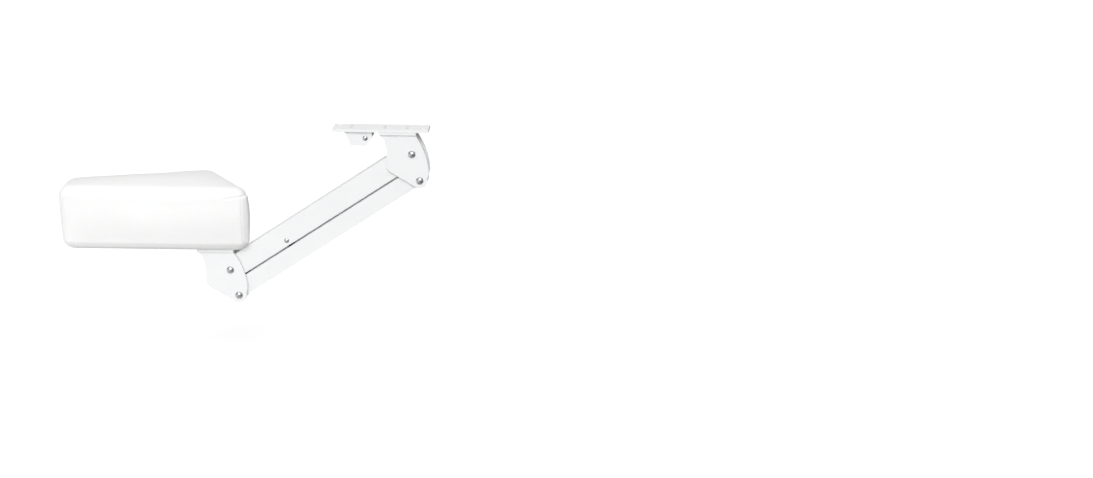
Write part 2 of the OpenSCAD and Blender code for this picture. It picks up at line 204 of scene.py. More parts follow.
def solids(node):
    """The lowest and highest corner of each separate solid of a CAD node, in order along X."""
    bm = bmesh.new()
    bm.from_mesh(frame["nodes"][node].data)
    bmesh.ops.remove_doubles(bm, verts=bm.verts, dist=SAME_POINT)
    left = set(bm.verts)
    boxes = []
    while left:
        group = set()
        ahead = [next(iter(left))]
        while ahead:
            vert = ahead.pop()
            if vert not in group:
                group.add(vert)
                ahead.extend(edge.other_vert(vert) for edge in vert.link_edges)
        left -= group
        places = np.array([vert.co for vert in group])
        boxes.append((Vector(places.min(axis=0)), Vector(places.max(axis=0))))
    bm.free()
    return sorted(boxes, key=lambda box: tuple(round(c, 4) for c in box[0]))


def middle(box):
    return (box[0] + box[1]) / 2


def sides(plan):
    """The sides of a closed outline, as pairs of its points."""
    return list(zip(plan, plan[1:] + plan[:1]))


def plan_area(plan):
    """Area of an outline, positive when it runs counter-clockwise."""
    return 0.5 * sum(a.cross(b) for a, b in sides(plan))


def depth_in(plan, point):
    """How far a point lies inside a convex, counter-clockwise outline."""
    return min((b - a).cross(point.xy - a) / (b - a).length for a, b in sides(plan))


def convex_plan(node, grow=0.0):
    """The plan outline of a CAD node, counter-clockwise, moved out by grow."""
    points = [Vector((v.co.x, v.co.y)) for v in frame["nodes"][node].data.vertices]
    hull = [points[i] for i in geometry.convex_hull_2d(points)]
    plan = [p for i, p in enumerate(hull) if (p - hull[i - 1]).length > PLAN_STEP]
    if plan_area(plan) < 0:
        plan.reverse()
    heart = sum(plan, Vector((0, 0))) / len(plan)
    return [p + (p - heart).normalized() * grow for p in plan]


# ---------------------------------------------------------------- pieces on their bodies
def finish_piece(piece, body, slot, *replaced):
    """Gives a piece its slot's look and its body, and hides the CAD nodes that it replaces."""
    piece.data.materials.clear()
    piece.data.materials.append(LOOKS[slot])
    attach(piece, body)
    if replaced:
        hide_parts(*replaced)


def stand_in(piece, node):
    """The piece stands for one CAD node, on its body and with its slot."""
    finish_piece(piece, BODY[node], SLOT[node], node)


# ---------------------------------------------------------------- materials
class Nodes:
    """A node tree, with short calls for the nodes that it needs."""

    def __init__(self, tree):
        self.tree = tree

    def node(self, kind, **settings):
        made = self.tree.nodes.new(kind)
        for key, value in settings.items():
            setattr(made, key, value)
        return made

    def wire(self, source, target):
        """Links a socket to another, or sets it to a plain value."""
        if isinstance(source, bpy.types.NodeSocket):
            self.tree.links.new(source, target)
        else:
            target.default_value = source

    def span(self, source, low, high, from_low=0.0, from_high=1.0):
        """Maps from_low..from_high onto low..high, and no further."""
        made = self.node("ShaderNodeMapRange")
        self.wire(from_low, made.inputs["From Min"])
        self.wire(from_high, made.inputs["From Max"])
        self.wire(low, made.inputs["To Min"])
        self.wire(high, made.inputs["To Max"])
        self.wire(source, made.inputs["Value"])
        return made.outputs["Result"]

    def maths(self, operation, a, b=0.0):
        made = self.node("ShaderNodeMath", operation=operation)
        self.wire(a, made.inputs[0])
        self.wire(b, made.inputs[1])
        return made.outputs[0]

    def dot(self, a, b):
        made = self.node("ShaderNodeVectorMath", operation="DOT_PRODUCT")
        self.wire(a, made.inputs[0])
        self.wire(b, made.inputs[1])
        return made.outputs["Value"]

    def seen(self):
        """1 for a ray from the camera, 0 for any other."""
        return self.node("ShaderNodeLightPath").outputs["Is Camera Ray"]


class Shader(Nodes):
    """A Principled material whose textures lie in the object's own space."""

    def __init__(self, name, **values):
        self.material = bpy.data.materials.new(name)
        self.material.use_nodes = True
        super().__init__(self.material.node_tree)
        self.bsdf = self.tree.nodes["Principled BSDF"]
        self.place = self.node("ShaderNodeTexCoord").outputs["Object"]
        for key, value in values.items():
            self.put(key.replace("_", " "), value)

    def put(self, name, source):
        self.wire(source, self.bsdf.inputs[name])

    def soft_inside(self, weight, *radius):
        """Light that enters and comes out again nearby."""
        self.put("Subsurface Weight", weight)
        self.put("Subsurface Radius", radius)

    def texture(self, kind, stretch=(1, 1, 1), **settings):
        mapping = self.node("ShaderNodeMapping")
        self.wire(stretch, mapping.inputs["Scale"])
        self.wire(self.place, mapping.inputs["Vector"])
        made = self.node(kind, **settings)
        self.wire(mapping.outputs["Vector"], made.inputs["Vector"])
        return made

    def noise(self, scale, detail=3.0, roughness=0.5, stretch=(1, 1, 1)):
        made = self.texture("ShaderNodeTexNoise", stretch)
        self.wire(scale, made.inputs["Scale"])
        self.wire(detail, made.inputs["Detail"])
        self.wire(roughness, made.inputs["Roughness"])
        return made.outputs["Fac"]

    def cells(self, scale, feature="F1"):
        made = self.texture("ShaderNodeTexVoronoi", feature=feature)
        self.wire(scale, made.inputs["Scale"])
        return made.outputs["Distance"]

    def ramp(self, source, *stops):
        """A colour from a value; each stop is where it lies and its colour."""
        made = self.node("ShaderNodeValToRGB")
        band = made.color_ramp
        while len(band.elements) < len(stops):
            band.elements.new(0.5)
        for element, (at, colour) in zip(band.elements, stops):
            element.position = at
            element.color = (*colour, 1.0)
        self.wire(source, made.inputs["Fac"])
        return made.outputs["Color"]

    def mix(self, factor, a, b):
        """Mixes two colours."""
        made = self.node("ShaderNodeMix", data_type="RGBA")
        self.wire(factor, made.inputs["Factor"])
        for value, socket in ((a, made.inputs["A"]), (b, made.inputs["B"])):
            self.wire((*value, 1.0) if isinstance(value, tuple) else value, socket)
        return made.outputs["Result"]

    def bump(self, height, depth, strength, over=None):
        """A relief of the given depth, over another relief or on the bare surface."""
        made = self.node("ShaderNodeBump")
        self.wire(depth, made.inputs["Distance"])
        self.wire(strength, made.inputs["Strength"])
        self.wire(height, made.inputs["Height"])
        if over is not None:
            self.wire(over, made.inputs["Normal"])
        return made.outputs["Normal"]

    def edges(self, radius):
        """How near a point is to a sharp edge, from 0 to 1."""
        soft = self.node("ShaderNodeBevel", samples=4)
        self.wire(radius, soft.inputs["Radius"])
        sharp = self.node("ShaderNodeNewGeometry")
        turn = self.dot(soft.outputs["Normal"], sharp.outputs["Normal"])
        return self.span(turn, 1.0, 0.0, from_low=0.75, from_high=0.995)

    def finish(self, colour, roughness, normal):
        self.put("Base Color", colour)
        self.put("Roughness", roughness)
        self.put("Normal", normal)
        return self.material


def powder_coat():
    """White powder coat: faint orange peel, thinner and greyer on the edges."""
    s = Shader("white_powder_coat", IOR=1.5, Coat_Weight=0.15, Coat_Roughness=0.2)
    body = s.ramp(s.noise(14, detail=4), (0.3, (0.905, 0.91, 0.915)), (0.7, (0.925, 0.93, 0.935)))
    worn = s.span(s.edges(0.6 * MM), 0.0, 0.4)
    return s.finish(
        colour=s.mix(worn, body, (0.78, 0.79, 0.80)),
        roughness=s.span(s.noise(90), 0.3, 0.42),
        normal=s.bump(s.noise(700, detail=2), depth=0.06 * MM, strength=0.5),
    )


def vinyl():
    """White upholstery vinyl: fine pebble grain with painted shade in its creases, soft satin, faintly uneven
    white.
    """
    s = Shader("white_vinyl", IOR=1.48, Sheen_Weight=0.06, Sheen_Roughness=0.5)
    s.soft_inside(0.08, 4 * MM, 3 * MM, 2.5 * MM)
    tone = s.noise(9, detail=5, roughness=0.6)
    body = s.ramp(tone, (0.3, (0.905, 0.905, 0.90)), (0.7, (0.935, 0.935, 0.932)))
    pebble = s.cells(950, "SMOOTH_F1")
    # painted shade: the grain's creases are darkened towards light grey
    crease_shade = s.span(pebble, 0.0, 0.25, from_low=0.35, from_high=0.75)
    grain = s.bump(pebble, depth=0.12 * MM, strength=0.35)
    return s.finish(
        colour=s.mix(crease_shade, body, (0.84, 0.84, 0.835)),
        roughness=s.span(s.noise(60, detail=4), 0.4, 0.52),
        normal=s.bump(s.noise(2600, detail=2), depth=0.04 * MM, strength=0.25, over=grain),
    )


def chrome():
    """Polished chrome with faint handling marks."""
    s = Shader("chromed_domes", Metallic=1.0)
    return s.finish(
        colour=s.ramp(s.noise(300), (0.3, (0.60, 0.61, 0.63)), (0.7, (0.70, 0.71, 0.72))),
        roughness=s.span(s.noise(900, detail=4), 0.12, 0.24),
        normal=s.bump(s.noise(1500, detail=2), depth=0.01 * MM, strength=0.3),
    )


def zinc():
    """Zinc-plated steel with a mottled passivated tone."""
    s = Shader("zinc_steel", Metallic=1.0)
    tones = (0.3, (0.50, 0.51, 0.50)), (0.55, (0.62, 0.62, 0.60)), (0.8, (0.56, 0.58, 0.62))
    return s.finish(
        colour=s.ramp(s.noise(260, detail=4), *tones),
        roughness=s.span(s.noise(500), 0.28, 0.5),
        normal=s.bump(s.noise(1800, detail=2), depth=0.02 * MM, strength=0.4),
    )


def spring_steel():
    """Dark phosphated spring steel."""
    s = Shader("spring_steel", Metallic=1.0)
    return s.finish(
        colour=s.ramp(s.noise(400), (0.3, (0.16, 0.16, 0.17)), (0.7, (0.26, 0.26, 0.27))),
        roughness=s.span(s.noise(700), 0.38, 0.6),
        normal=s.bump(s.noise(1600, detail=2), depth=0.02 * MM, strength=0.4),
    )


def rubber():
    """Black rubber, matt, with a dusty bloom."""
    s = Shader("black_rubber", IOR=1.5)
    tones = (0.35, (0.016, 0.016, 0.017)), (0.75, (0.045, 0.045, 0.047))
    return s.finish(
        colour=s.ramp(s.noise(120, detail=5), *tones),
        roughness=s.span(s.noise(400), 0.65, 0.9),
        normal=s.bump(s.noise(1400), depth=0.05 * MM, strength=0.5),
    )


def bush_plastic():
    """Ivory bearing plastic, waxy, with turning marks."""
    s = Shader("bush_plastic", IOR=1.5)
    s.soft_inside(0.1, 2 * MM, 1.5 * MM, 1 * MM)
    marks = s.noise(900, detail=2, stretch=(1, 6, 1))
    return s.finish(
        colour=s.ramp(s.noise(200), (0.3, (0.72, 0.69, 0.60)), (0.7, (0.80, 0.77, 0.69))),
        roughness=s.span(s.noise(600), 0.4, 0.6),
        normal=s.bump(marks, depth=0.02 * MM, strength=0.4),
    )


def plywood():
    """Birch plywood: grain on the faces, plies along the edge."""
    s = Shader("plywood", IOR=1.45)
    grain = s.noise(60, detail=6, roughness=0.65, stretch=(0.6, 9, 9))
    tones = (0.3, (0.42, 0.27, 0.14)), (0.5, (0.60, 0.43, 0.26)), (0.75, (0.68, 0.52, 0.34))
    plies = s.texture("ShaderNodeTexWave", bands_direction="Z")
    s.wire(105, plies.inputs["Scale"])
    s.wire(0.6, plies.inputs["Distortion"])
    glue = s.span(plies.outputs["Fac"], 0.0, 0.45)
    return s.finish(
        colour=s.mix(glue, s.ramp(grain, *tones), (0.36, 0.22, 0.12)),
        roughness=s.span(grain, 0.55, 0.8),
        normal=s.bump(grain, depth=0.2 * MM, strength=0.4),
    )


def brass():
    """Machined brass."""
    s = Shader("brass_insert", Metallic=1.0)
    marks = s.noise(1200, detail=2, stretch=(1, 1, 8))
    return s.finish(
        colour=s.ramp(s.noise(300), (0.3, (0.58, 0.42, 0.18)), (0.7, (0.72, 0.56, 0.27))),
        roughness=s.span(s.noise(800), 0.2, 0.4),
        normal=s.bump(marks, depth=0.02 * MM, strength=0.4),
    )


def foam(name, deep, bright, scale):
    """Open-cell foam: pores of about a millimetre in a soft, matt body."""
    s = Shader(name, IOR=1.3)
    s.soft_inside(0.2, 6 * MM, 5 * MM, 3 * MM)
    pores = s.cells(scale)
    walls = s.span(pores, 0.0, 0.6, from_low=0.2, from_high=0.7)
    return s.finish(
        colour=s.mix(walls, bright, deep),
        roughness=s.span(s.noise(200), 0.85, 1.0),
        normal=s.bump(pores, depth=0.6 * MM, strength=0.6),
    )


def nonwoven():
    """Black spunbond: rows of heat-sealed dots in a fibrous sheet."""
    s = Shader("black_nonwoven", IOR=1.4, Sheen_Weight=0.25, Sheen_Roughness=0.6)
    fibre = s.noise(1500, detail=6, roughness=0.7, stretch=(1, 3, 1))
    dots = s.cells(420)
    sealed = s.span(dots, 1.0, 0.0, from_low=0.1, from_high=0.3)
    raised = s.bump(fibre, depth=0.1 * MM, strength=0.6)
    return s.finish(
        colour=s.mix(sealed, (0.022, 0.022, 0.024), (0.055, 0.055, 0.058)),
        roughness=s.span(fibre, 0.7, 0.95),
        normal=s.bump(dots, depth=0.15 * MM, strength=0.5, over=raised),
    )


LOOKS = {
    "white_powder_coat": powder_coat(),
    "white_vinyl": vinyl(),
    "chromed_domes": chrome(),
    "zinc_steel": zinc(),
    "spring_steel": spring_steel(),
    "black_rubber": rubber(),
    "bush_plastic": bush_plastic(),
    "plywood": plywood(),
    "brass_insert": brass(),
    "firm_foam": foam("firm_foam", deep=(0.62, 0.56, 0.34), bright=(0.84, 0.78, 0.55), scale=900),
    "soft_foam": foam("soft_foam", deep=(0.72, 0.69, 0.58), bright=(0.90, 0.88, 0.80), scale=1200),
    "black_nonwoven": nonwoven(),
}
CAD_CRISP = 30             # degrees: a carried-over node's sharper edges stay crisp


def dress_cad_nodes():
    """Every carried-over CAD node takes its slot's material."""
    for name, cad in frame["nodes"].items():
        cad.data.materials.clear()
        cad.data.materials.append(LOOKS[SLOT[name]])
        smooth(cad, CAD_CRISP)


# ---------------------------------------------------------------- stage, light, camera
FLOOR_HALF = 30.0
FLOOR_DROP = 0.62          # below the plate, as a table's floor is
FLOOR_GLOW = 0.24          # what the camera sees is lifted to white
FLOOR_BRIGHT_X = -1.15     # the light that the floor throws back fades between these two
FLOOR_DARK_X = 0.55
ROOM_BRIGHT = 0.76
ROOM_DARK = 0.3            # at the room's two ends, along X
ROOM_FADE = 0.35           # where the fade to its ends begins, from 0 in front to 1 at an end
SUN_FROM = Vector((0.05, -0.85, 0.52))
SUN_POWER = 1.65
SUN_WIDTH = 32             # degrees
CAMERA_FROM_PIVOT = Vector((0.2133, -2.2656, 0.5466))
CAMERA_TURN = 0.72         # degrees: to the right, down, and about its own line of sight
CAMERA_TILT = 17.31
CAMERA_ROLL = 0.95
CAMERA_LENS = 42.8
CAMERA_SENSOR = 36.0


def stage():
    """A plain pale floor that throws less light back towards +X."""
    square = (-1, -1), (1, -1), (1, 1), (-1, 1)
    corners = [(x * FLOOR_HALF, y * FLOOR_HALF, -FLOOR_DROP) for x, y in square]
    floor = mesh_object("floor", corners, [(0, 1, 2, 3)])
    s = Shader("pale_floor", Roughness=0.9, Specular_IOR_Level=0.1)
    pale = s.ramp(s.noise(3, detail=2), (0.3, (0.95, 0.95, 0.95)), (0.7, (0.96, 0.96, 0.96)))
    across = s.node("ShaderNodeSeparateXYZ")
    s.wire(s.place, across.inputs[0])
    fade = s.span(across.outputs["X"], 0.0, 1.0, from_low=FLOOR_BRIGHT_X, from_high=FLOOR_DARK_X)
    thrown = s.ramp(fade, (0.0, (0.9, 0.9, 0.9)), (1.0, (0.2, 0.2, 0.205)))
    s.put("Base Color", s.mix(s.seen(), thrown, pale))
    s.put("Emission Color", (1, 1, 1, 1))
    s.put("Emission Strength", s.maths("MULTIPLY", s.seen(), FLOOR_GLOW))
    floor.data.materials.append(s.material)


def room():
    """A white room, dimmer at its two ends, and plain white to the camera."""
    world = bpy.data.worlds.new("soft_room")
    SCENE.world = world
    world.use_nodes = True
    n = Nodes(world.node_tree)
    place = n.node("ShaderNodeTexCoord").outputs["Generated"]
    end = n.maths("ABSOLUTE", n.dot(place, (1, 0, 0)))
    pick = n.node("ShaderNodeMix")
    n.wire(n.seen(), pick.inputs["Factor"])
    n.wire(n.span(end, ROOM_BRIGHT, ROOM_DARK, from_low=ROOM_FADE), pick.inputs["A"])
    n.wire(1.0, pick.inputs["B"])
    back = n.tree.nodes["Background"]
    n.wire((1, 1, 1, 1), back.inputs["Color"])
    n.wire(pick.outputs["Result"], back.inputs["Strength"])


def sun():
    """One broad soft sun in front."""
    light = bpy.data.lights.new("soft_sun", "SUN")
    light.energy = SUN_POWER
    light.angle = math.radians(SUN_WIDTH)
    link_object("soft_sun", light).rotation_euler = (-SUN_FROM).to_track_quat("-Z", "Y").to_euler()


def camera():
    """The photograph's viewing angle, held from the arm's first pivot."""
    turn, tilt, roll = (math.radians(a) for a in (CAMERA_TURN, CAMERA_TILT, CAMERA_ROLL))
    level = Vector((math.cos(turn), -math.sin(turn), 0))
    ahead = Vector((math.sin(turn) * math.cos(tilt), math.cos(turn) * math.cos(tilt), -math.sin(tilt)))
    above = level.cross(ahead)
    right = level * math.cos(roll) + above * math.sin(roll)
    up = above * math.cos(roll) - level * math.sin(roll)
    data = bpy.data.cameras.new("camera")
    data.sensor_width = CAMERA_SENSOR
    data.lens = CAMERA_LENS
    data.clip_start, data.clip_end = 0.05, 100.0
    cam = link_object("camera", data)
    place = Matrix.Translation(TABLE_PIVOT + CAMERA_FROM_PIVOT)
    cam.matrix_world = place @ Matrix((right, up, -ahead)).transposed().to_4x4()
    SCENE.camera = cam
    SCENE.view_settings.view_transform = "Standard"
    SCENE.view_settings.look = "None"


# ---------------------------------------------------------------- formed metal
EDGE = 0.45 * MM           # rounding of a cut edge
LINK_EDGE = 0.35 * MM
FOLD = 2.3 * MM            # outer radius of a link's fold
FLAT_ANGLE = 0.8           # degrees: triangles that turn less are one face
ROUNDED_ANGLE = 32         # degrees: edges that turn more are rounded
CRISP = 50                 # degrees: edges that turn more stay crisp
FLANGE_T = 5 * MM
CHEEK_T = 4 * MM
BEAD_R = 1.6 * MM
BEAD_SIDES = 10
BEAD_RIPPLE = 1.7 * MM     # from one ripple of a weld to the next
BEAD_RINGS = 5             # for each ripple
BEAD_DIP = 0.14            # how far it thins between ripples, as a share of its radius
BEAD_TIP = 0.35            # thickness at its very ends, as a share of its radius
BEAD_TAPER = 8
BEAD_SINK = 0.3 * MM       # how far its middle lies inside the corner
BEAD_INSET = 7 * MM        # from the flange's end
PIVOT_WASHERS = {"table_bracket": "table_pivot_washers", "cushion_bracket": "cushion_pivot_washers"}


def clean_copy(node):
    """A CAD node's mesh with its triangles joined into whole faces."""
    mesh = bpy.data.meshes.new(node + "_body")
    with edited(frame["nodes"][node].data, mesh) as bm:
        bmesh.ops.remove_doubles(bm, verts=bm.verts, dist=SAME_POINT)
        bmesh.ops.dissolve_limit(bm, angle_limit=math.radians(FLAT_ANGLE), verts=bm.verts, edges=bm.edges)
    return link_object(node + "_body", mesh)


def bevel(piece, width, segments, **limit):
    modify(piece, "BEVEL", width=width, segments=segments, miter_outer="MITER_ARC", **limit)


def mark_folds(piece, box):
    """Marks the two long edges along the top of a link, where its sheet is folded."""
    mesh = piece.data
    weights = mesh.attributes.new("bevel_weight_edge", "FLOAT", "EDGE")
    face = max(v.co.y for v in mesh.vertices) - 0.1 * MM
    for edge in mesh.edges:
        a, b = (mesh.vertices[i].co for i in edge.vertices)
        outside = min(abs(a.y), abs(b.y)) > face
        along = abs((b - a).normalized().dot(ARM_AXIS)) > 0.999
        upper = ((a + b) / 2 - middle(box)).dot(ARM_UP) > 0
        if outside and along and upper and (b - a).length > ARM.length / 2:
            weights.data[edge.index].value = 1.0


def rounded_copy(node, width, folded=0.0):
    """A CAD node with its sharp edges rounded, and the folds of a channel rounded further."""
    piece = clean_copy(node)
    if folded:
        mark_folds(piece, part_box(node))
        bevel(piece, folded, 5, limit_method="WEIGHT")
    bevel(piece, width, 2, limit_method="ANGLE", angle_limit=math.radians(ROUNDED_ANGLE))
    smooth(piece, CRISP)
    modify(piece, "WEIGHTED_NORMAL", weight=100, keep_sharp=True)
    return piece


def bead(start, end):
    """A weld bead: a rod along a joint, rippled like overlapping coins, thin at its ends."""
    along = end - start
    side = along.normalized().orthogonal().normalized()
    up = along.normalized().cross(side)
    steps = int(along.length * BEAD_RINGS / BEAD_RIPPLE)
    turns = [math.tau * j / BEAD_SIDES for j in range(BEAD_SIDES)]
    rings = []
    for i in range(steps + 1):
        t = i / steps
        wave = (along.length * t / BEAD_RIPPLE) % 1.0
        size = BEAD_R * (1 - BEAD_DIP + BEAD_DIP * math.sqrt(1 - (2 * wave - 1) ** 2))
        size *= min(1.0, BEAD_TIP + BEAD_TAPER * min(t, 1 - t))
        rings.append([start + along * t + (side * math.cos(a) + up * math.sin(a)) * size for a in turns])
    return skin(rings)


def bracket(node, pivot):
    """Both brackets: cheeks welded to the flange along their inner faces."""
    piece = rounded_copy(node, EDGE)
    low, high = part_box(node)
    height = high.z - FLANGE_T - BEAD_SINK
    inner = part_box(PIVOT_WASHERS[node])[0].y - CHEEK_T - BEAD_SINK
    beads = []
    for y in (-inner, inner):
        beads.append(bead(Vector((low.x + BEAD_INSET, y, height)), Vector((pivot.x, y, height))))
    welds = smooth(solid_object("welds", beads))
    with edited(piece.data) as bm:
        bm.from_mesh(welds.data)
    bpy.data.objects.remove(welds)
    stand_in(piece, node)


def metalwork():
    bracket("table_bracket", TABLE_PIVOT)
    bracket("cushion_bracket", CUSHION_PIVOT)
    for node in ("upper_link", "lower_link"):
        stand_in(rounded_copy(node, LINK_EDGE, folded=FOLD), node)
    for node in ("mounting_plate", "raise_stop_clevis"):
        stand_in(rounded_copy(node, EDGE), node)


# ---------------------------------------------------------------- turned parts
M6 = 3 * MM
M8 = 4 * MM
M6_PITCH = 1.0 * MM
M8_PITCH = 1.25 * MM
FINE_PITCH = 0.8 * MM      # the two stops' bolts
THREAD_DEPTH = 0.54        # in pitches
THREAD_GAP = 0.05 * MM     # between a nut's bore and its bolt
PIVOT_THREAD = 16 * MM     # threaded length of a pivot bolt
STOP_THREAD = 8 * MM
NECK = (4.3 * MM, 3 * MM)  # half width and depth of a pivot bolt's square neck
DOME_RISE = 0.93           # share of a dome head's height that is curved
DOME_RIM = 0.35 * MM
DOME_BREAK = 0.3 * MM
M8_FLATS = 13 * MM
NUT_BODY = 0.74            # share of a nut's height that is hexagonal
NUT_CHAMFER = 0.95         # where the corners' chamfer begins, as a share of the half width
NUT_COLLAR = 0.84          # collar's radius, as a share of the half width
NUT_BREAK = 0.5 * MM
CHAMFER_SLOPE = 0.58       # 30 degrees
NYLON_W = 0.8 * MM
NYLON_LOW = 0.76           # where the plastic ring begins, as a share of the nut's height
SOCKET = 2.0 * MM          # half width of a screw's hexagon socket
SOCKET_DEPTH = 2.1 * MM
SCREW_FLAT = 2.5 * MM      # radius of the flat round the socket
SCREW_HEAD = 3.3 * MM      # height of a button head
SCREW_RIM = 0.3 * MM
SCREW_PLAIN = 1.5 * MM     # unthreaded length under the head
TURNED_SIDES = 48
TURNED_CRISP = 32          # degrees
STOPS = {
    # bolt: the piece that its head sits on, its radius, its nut, the nut's width across flats
    "raise_stop_bolt": ("raise_stop_clevis", 2.5 * MM, "raise_stop_nut", 8 * MM),
    "stop_pin": ("upper_link", 3 * MM, "stop_pin_nut", 10 * MM),
}
ROUNDED = {
    "table_bracket_washers": 0.2 * MM,
    "cushion_bracket_washers": 0.2 * MM,
    "table_pivot_washers": 0.3 * MM,
    "cushion_pivot_washers": 0.3 * MM,
    "table_pivot_springs": 0.15 * MM,
    "cushion_pivot_springs": 0.15 * MM,
    "upper_link_bushes": 0.3 * MM,
    "lower_link_bushes": 0.3 * MM,
    "raise_stop_sleeve": 0.8 * MM,
    "stop_pin_sleeve": 0.8 * MM,
    "board_inserts": 0.3 * MM,
    "base_board": 0.8 * MM,
    "cover_staples": 0.3 * MM,
}


def outline(angle, size, shape="round", limit=None):
    """Distance from the axis to a round, hexagonal or square outline of half width size."""
    if shape == "round":
        return size
    step, shift = (math.tau / 6, 0.0) if shape == "hex" else (math.tau / 4, math.tau / 8)
    far = size / math.cos((angle + shift) % step - step / 2)
    return min(far, limit) if limit else far


def turned(rings, ring_like=False):
    """Turns rings (half width, height, shape, limit) about +Z; shape and limit may be left out."""
    turns = [math.tau * i / TURNED_SIDES for i in range(TURNED_SIDES)]
    points = []
    for size, height, *rest in rings:
        far = [outline(a, size, *rest) for a in turns]
        points.append([Vector((r * math.cos(a), r * math.sin(a), height)) for r, a in zip(far, turns)])
    return skin(points, ring_like)


def upright(part, x, y):
    """A turned part on the vertical line through x and y."""
    verts, faces = part
    return [v + Vector((x, y, 0)) for v in verts], faces


def laid(part, box, y=0.0):
    """A turned part laid along +Y, in the middle of a box seen from the front."""
    verts, faces = part
    start = Vector((middle(box).x, y, middle(box).z))
    return [start + Vector((v.x, v.z, v.y)) for v in verts], faces


def thread(radius, start, end, pitch):
    """Rings of a cut thread, ending in a chamfer."""
    core = radius - THREAD_DEPTH * pitch
    rings = []
    for i in range(max(1, int((end - start - pitch) / pitch))):
        z = start + i * pitch
        rings += [(radius, z + 0.1 * pitch), (core, z + 0.5 * pitch), (radius, z + 0.9 * pitch)]
    return rings + [(radius, end - 0.6 * pitch), (core, end)]


def dome_bolt(box, face, radius, threaded, pitch, neck=None):
    """A dome-head bolt lying along +Y; face is where its head sits."""
    tip, end = box[0].y, box[1].y
    head = (box[1].x - box[0].x) / 2
    rings = []
    for step in range(1, 13):
        t = math.radians(90 * step / 12)
        rise = DOME_RISE * (face - tip) * (1 - math.cos(t) ** 1.25)
        rings.append((head * math.sin(t) ** 0.98, tip + rise))
    rings += [(head, face - DOME_RIM), (head - DOME_BREAK, face)]
    shank = face
    if neck:
        half, depth = neck
        shank = face + depth
        rings += [(half, face, "square"), (half, shank, "square")]
    rings += [(radius, shank), (radius, end - threaded)]
    rings += thread(radius, end - threaded, end, pitch)
    return laid(turned(rings), box)


def hex_nut(box, flats, bore):
    """A lock nut lying along +Y: chamfered hexagon, collar, and a seat for its plastic ring."""
    height = box[1].y - box[0].y
    half, body = flats / 2, NUT_BODY * height
    first = NUT_CHAMFER * half
    steps = [(half / math.cos(math.pi / 6) - first) * k / 5 for k in range(6)]
    rings = [(bore + NUT_BREAK, 0.0)]
    rings += [(half, step * CHAMFER_SLOPE, "hex", first + step) for step in steps]
    rings += [(half, body - step * CHAMFER_SLOPE, "hex", first + step) for step in reversed(steps)]
    collar, seat = NUT_COLLAR * half, bore + NYLON_W
    rings += [(collar, body), (collar, height - 0.5 * MM), (collar - 0.4 * MM, height - 0.1 * MM)]
    rings += [(collar - 0.6 * MM, height), (seat, height), (seat, body + 0.2 * MM)]
    rings += [(bore, body), (bore, NUT_BREAK)]
    return laid(turned(rings, ring_like=True), box, box[0].y)


def nylon_ring(box, bore):
    """The plastic ring that makes a lock nut bind."""
    height = box[1].y - box[0].y
    low, high = NYLON_LOW * height, height - 0.15 * MM
    wide = bore + NYLON_W - 0.02 * MM
    rings = [(bore, low), (wide, low), (wide, high - 0.2 * MM), (wide - 0.2 * MM, high)]
    rings += [(bore + 0.3 * MM, high), (bore, high - 0.3 * MM)]
    return laid(turned(rings, ring_like=True), box, box[0].y)


def socket_screw(box):
    """A button-head screw with a hexagon socket, pointing up."""
    tip, end = box[0].z, box[1].z
    head = (box[1].x - box[0].x) / 2
    seat = tip + SCREW_HEAD
    rings = [(0.4 * MM, tip + SOCKET_DEPTH + 0.5 * MM), (SOCKET, tip + SOCKET_DEPTH, "hex")]
    rings += [(SOCKET, tip + 0.25 * MM, "hex"), (SOCKET + 0.25 * MM, tip + 0.02 * MM, "hex")]
    rings.append((SCREW_FLAT, tip))
    for step in range(1, 9):
        t = math.radians(10.5 * step)
        fall = (SCREW_HEAD - SCREW_RIM) * (1 - math.cos(t))
        rings.append((SCREW_FLAT + (head - SCREW_FLAT) * math.sin(t), tip + fall))
    rings += [(head, seat - SCREW_RIM), (head - 0.25 * MM, seat), (M6, seat), (M6, seat + SCREW_PLAIN)]
    rings += thread(M6, seat + SCREW_PLAIN, end, M6_PITCH)
    return upright(turned(rings), middle(box).x, middle(box).y)


def turned_piece(name, parts):
    return smooth(solid_object(name, parts), TURNED_CRISP)


def lock_nuts(node, flats, bore, ring_name):
    """A node's lock nuts, and their plastic rings as a piece of their own."""
    nuts = [hex_nut(box, flats, bore) for box in solids(node)]
    stand_in(turned_piece(node + "_body", nuts), node)
    rings = [nylon_ring(box, bore) for box in solids(node)]
    finish_piece(turned_piece(ring_name, rings), BODY[node], "bush_plastic")


def pivot_bolts(side):
    """The two bolts of one bracket, their heads on its near cheek."""
    node = side + "_pivot_bolts"
    face = -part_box(side + "_pivot_washers")[0].y
    parts = [dome_bolt(box, face, M8, PIVOT_THREAD, M8_PITCH, NECK) for box in solids(node)]
    stand_in(turned_piece(node + "_body", parts), node)


def stop_bolt(node, seat, radius):
    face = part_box(seat)[0].y
    parts = [dome_bolt(box, face, radius, STOP_THREAD, FINE_PITCH) for box in solids(node)]
    stand_in(turned_piece(node + "_body", parts), node)


def hardware():
    """Bolts, nuts, screws, washers, springs and bushes."""
    for side in ("table", "cushion"):
        pivot_bolts(side)
        lock_nuts(side + "_pivot_nuts", M8_FLATS, M8 + THREAD_GAP, side + "_nut_rings")
    for bolt, (seat, radius, nut, flats) in STOPS.items():
        stop_bolt(bolt, seat, radius)
        lock_nuts(nut, flats, radius + THREAD_GAP, nut + "_ring")
    for node in ("table_bracket_screws", "raise_stop_screws", "cushion_bracket_screws"):
        parts = [socket_screw(box) for box in solids(node)]
        stand_in(turned_piece(node + "_body", parts), node)
    for node, width in ROUNDED.items():
        stand_in(rounded_copy(node, width), node)


